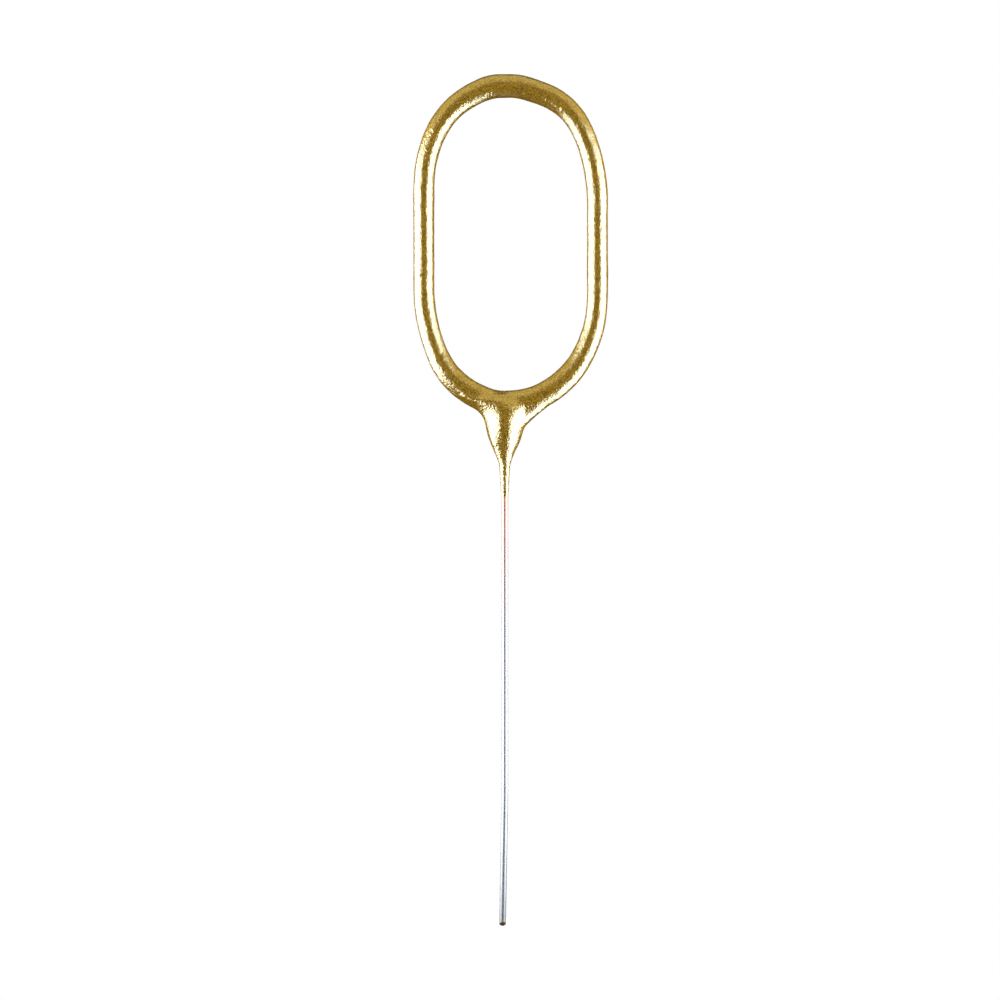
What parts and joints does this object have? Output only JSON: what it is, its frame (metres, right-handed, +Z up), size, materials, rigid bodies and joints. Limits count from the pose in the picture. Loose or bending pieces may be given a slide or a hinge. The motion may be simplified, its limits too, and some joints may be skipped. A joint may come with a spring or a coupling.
{
  "type": "cake sparkler",
  "caption": "Hand-held cake sparkler: a bent steel wire whose tall oval loop is dipped in spark composition and finished in gold lacquer, on a long bare stem that pushes into a cake.",
  "frame": {"origin": "the lowest point of the stem's sheared tip, on the stem's axis", "axes": "+Z up the stem, +X to the right of the figure seen from its front, and the front looks towards -Y"},
  "size_m": [0.0412, 0.0082, 0.18],
  "materials": {
    "steel_wire": "satin",
    "spark_composition": "matte",
    "gold_lacquer": "gloss"
  },
  "bodies": {
    "root": {"core_wire": "steel_wire", "base_dip": "spark_composition", "main_dip": "spark_composition", "gold_lacquer": "gold_lacquer"}
  },
  "joints": []
}
